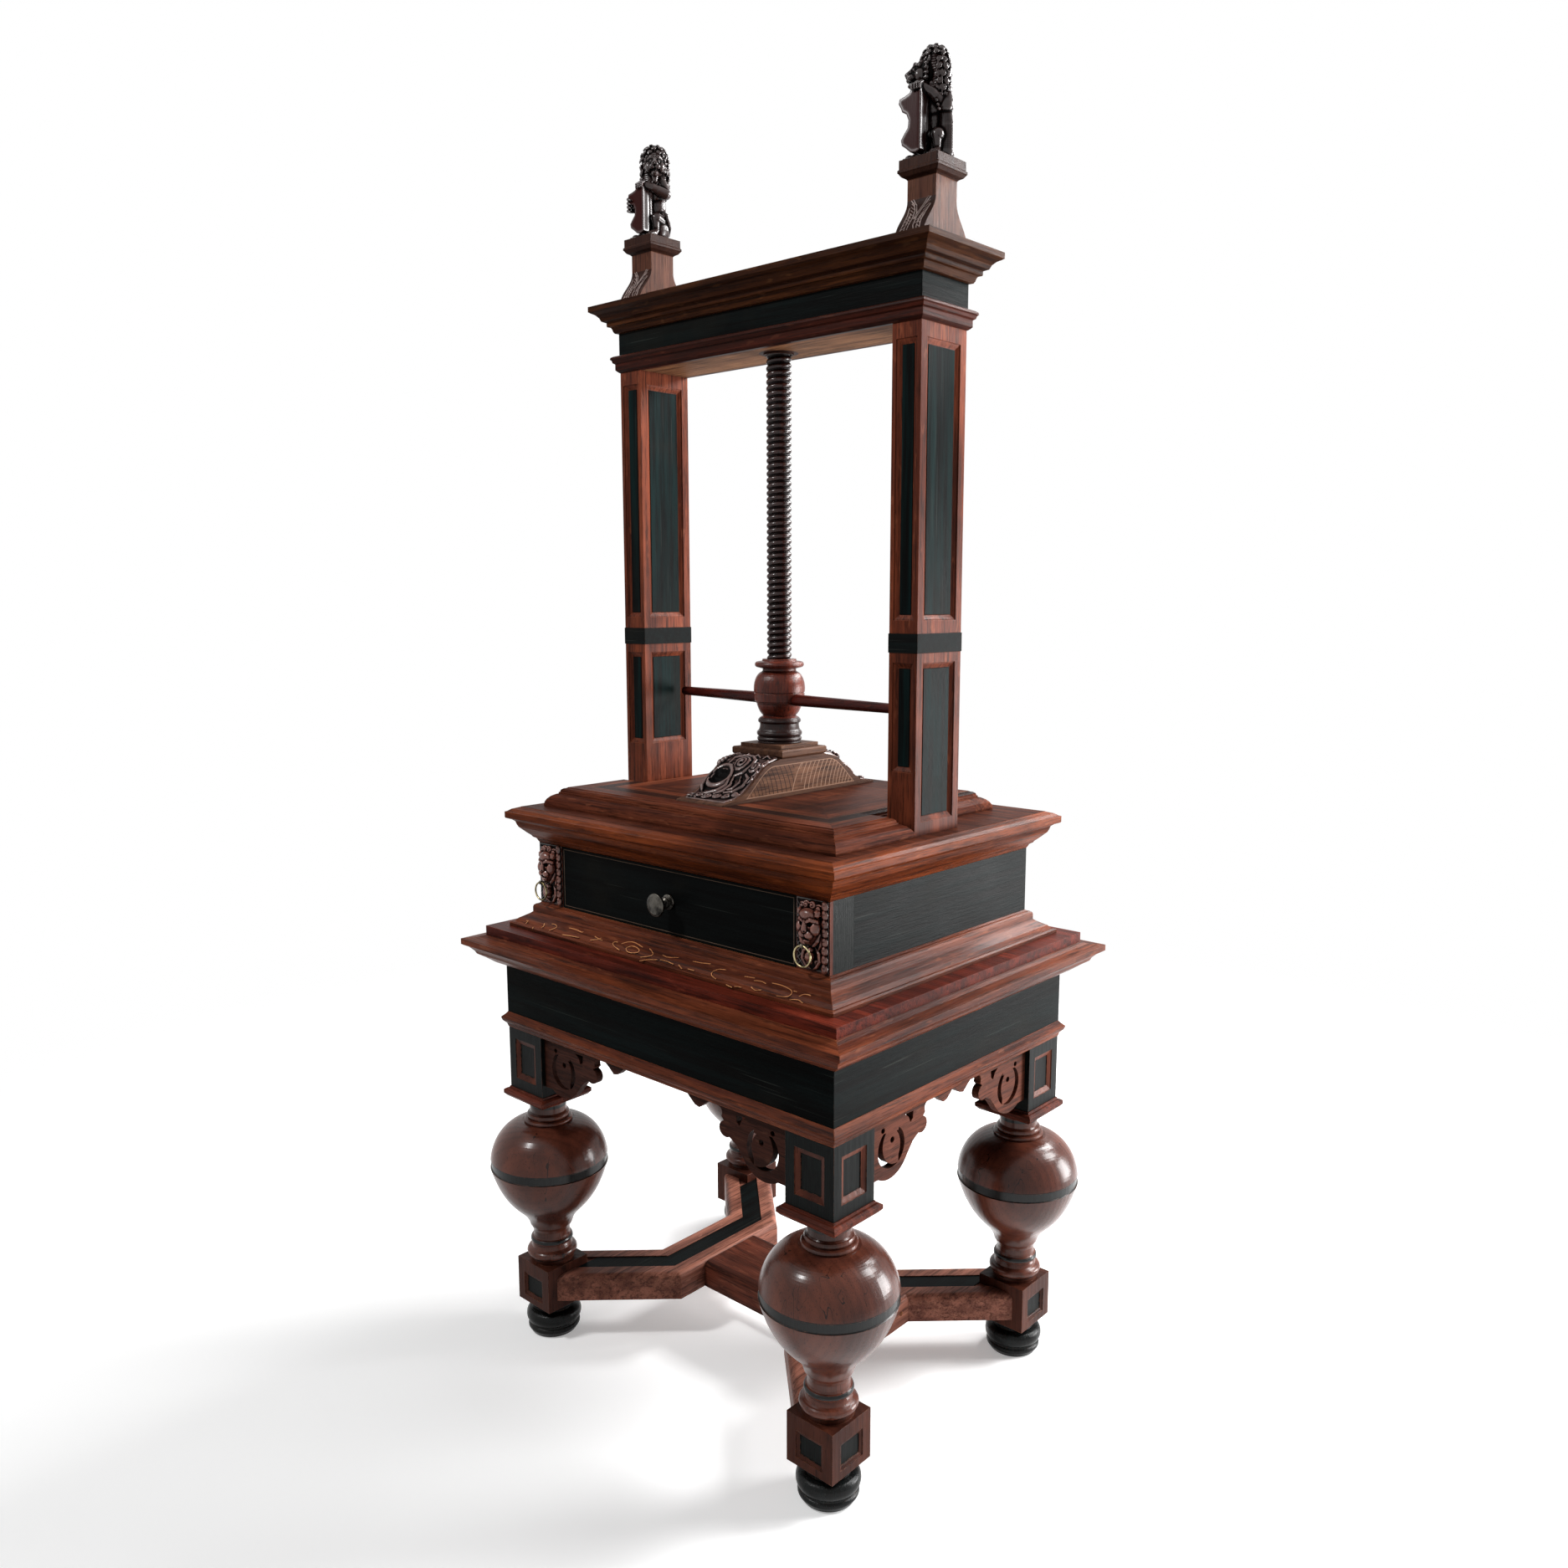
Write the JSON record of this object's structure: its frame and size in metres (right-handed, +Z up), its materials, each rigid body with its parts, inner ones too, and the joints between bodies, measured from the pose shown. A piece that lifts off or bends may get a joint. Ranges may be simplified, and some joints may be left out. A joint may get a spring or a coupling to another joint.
{
  "type": "book press",
  "caption": "Standing screw book press: posts and moulded head over a bed, platen driven by a lever screw, cabinet with drawer, table on turned bulb legs.",
  "frame": {"origin": "centre of the footprint, on the floor", "axes": "+Z up; the drawer side faces -Y; +X to the right seen from the drawer side"},
  "size_m": [0.8072, 0.6712, 1.9543],
  "materials": {
    "ebonised_turning": "ebonised and polished, chipped at the edges",
    "turned_oak": "turned oak, dark brown, waxed; blocks ebonised",
    "turned_dark": "turned oak, red-brown, waxed",
    "screw_wood": "cut thread, dry dark wood",
    "moulded_oak": "moulded oak, red-brown, waxed",
    "board_oak": "oak boards, brown, polished",
    "pierced_oak": "fretted oak, brown, dull",
    "carved_oak": "carved oak, dark brown with worn high places",
    "carved_dark": "carved oak, nearly black with worn high places",
    "ebonised_panel": "ebonised board, satin",
    "inner_oak": "plain oak, bare",
    "oak_pegs": "end grain of oak pegs",
    "ring_brass": "old brass, dull",
    "knob_metal": "dark turned metal, worn bright at the rim",
    "iron": "plain iron"
  },
  "bodies": {
    "frame": {"foot_front_left": "ebonised_turning", "foot_front_right": "ebonised_turning", "foot_back_left": "ebonised_turning", "foot_back_right": "ebonised_turning", "leg_front_left": "turned_oak", "leg_front_right": "turned_oak", "leg_back_left": "turned_oak", "leg_back_right": "turned_oak", "leg_collars": "moulded_oak", "side_stretcher_left": "moulded_oak", "side_stretcher_right": "moulded_oak", "stretcher_inlays": "ebonised_panel", "cross_stretcher": "moulded_oak", "joint_pegs": "oak_pegs", "apron_front": "ebonised_panel", "apron_back": "ebonised_panel", "apron_left": "ebonised_panel", "apron_right": "ebonised_panel", "apron_moulding": "moulded_oak", "long_brackets": "pierced_oak", "side_brackets": "pierced_oak", "table_cornice": "moulded_oak", "table_top": "board_oak", "plinth": "moulded_oak", "case_sides": "ebonised_panel", "case_back": "ebonised_panel", "case_floor": "inner_oak", "drawer_guides": "inner_oak", "pilaster_left": "carved_oak", "pilaster_right": "carved_oak", "mask_left": "carved_oak", "mask_right": "carved_oak", "ring_eyes": "ring_brass", "bed": "board_oak", "bed_cornice": "moulded_oak", "post_left": "board_oak", "post_right": "board_oak", "post_panels": "ebonised_panel", "post_bands": "ebonised_panel", "head_beam": "board_oak", "head_architrave": "moulded_oak", "head_frieze": "ebonised_panel", "head_cornice": "moulded_oak", "screw_nut": "turned_oak", "pedestal_left": "carved_oak", "pedestal_right": "carved_oak", "lion_left": "carved_dark", "lion_right": "carved_dark"},
    "platen": {"platen": "board_oak", "saddle": "carved_oak"},
    "screw": {"screw": "screw_wood", "screw_hub": "turned_dark", "retaining_washer": "iron"},
    "lever": {"lever": "turned_dark"},
    "drawer": {"drawer_front": "ebonised_panel", "drawer_box": "inner_oak", "drawer_bottom": "inner_oak", "drawer_knob": "knob_metal"},
    "ring_left": {"ring_left": "ring_brass"},
    "ring_right": {"ring_right": "ring_brass"}
  },
  "joints": [
    {"name": "platen_slide", "type": "slide", "parent": "frame", "child": "platen", "axis": [0, 0, 1], "range_m": [0, 0.44]},
    {"name": "screw_turn", "type": "hinge", "parent": "platen", "child": "screw", "pos_m": [0, 0, 1.0083], "axis": [0, 0, 1], "range_deg": [0, 16400]},
    {"name": "lever_slide", "type": "slide", "parent": "screw", "child": "lever", "axis": [0.9942, -0.108, 0], "range_m": [-0.007, 0.007]},
    {"name": "drawer_slide", "type": "slide", "parent": "frame", "child": "drawer", "axis": [0, -1, 0], "range_m": [0, 0.34]},
    {"name": "ring_left_swing", "type": "hinge", "parent": "frame", "child": "ring_left", "pos_m": [-0.27725, -0.2615, 0.7835], "axis": [-1, 0, 0], "range_deg": [-8, 95]},
    {"name": "ring_right_swing", "type": "hinge", "parent": "frame", "child": "ring_right", "pos_m": [0.27725, -0.2615, 0.7835], "axis": [-1, 0, 0], "range_deg": [-8, 95]}
  ],
  "couplings": [
    {"joint": "platen_slide", "follows": "screw_turn", "m_per_rad": 0.0015359}
  ]
}
